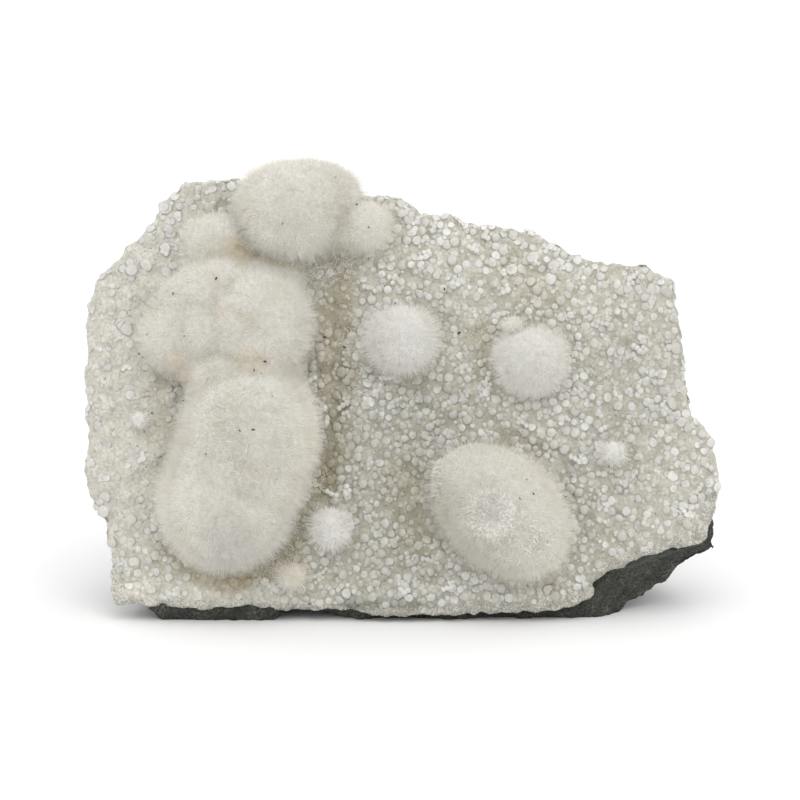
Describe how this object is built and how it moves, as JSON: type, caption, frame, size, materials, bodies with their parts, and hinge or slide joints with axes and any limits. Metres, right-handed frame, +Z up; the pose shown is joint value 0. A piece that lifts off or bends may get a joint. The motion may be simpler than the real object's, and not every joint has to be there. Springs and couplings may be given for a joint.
{
  "type": "okenite puffball mineral specimen",
  "caption": "Standing mineral specimen: round tufted okenite puffballs grown on a crust of milky chalcedony beads that lines a wedge of dark basalt.",
  "frame": {"origin": "on the surface that the specimen stands on, below the middle of its width and depth", "axes": "+Z up, +X along the width of the face, and the face with the puffballs looks towards -Y and a little up"},
  "size_m": [0.158, 0.0722, 0.1144],
  "materials": {
    "basalt": "matte",
    "chalcedony": "satin",
    "okenite": "matte"
  },
  "bodies": {
    "root": {"basalt_matrix": "basalt", "chalcedony_crust": "chalcedony", "puffball_cluster": "okenite", "puffball_lower_right": "okenite", "puffball_centre": "okenite", "puffball_right": "okenite", "puffball_white_bud": "okenite", "puffball_tan_bud": "okenite", "puffball_right_bud": "okenite", "puffball_left_bud": "okenite"}
  },
  "joints": []
}
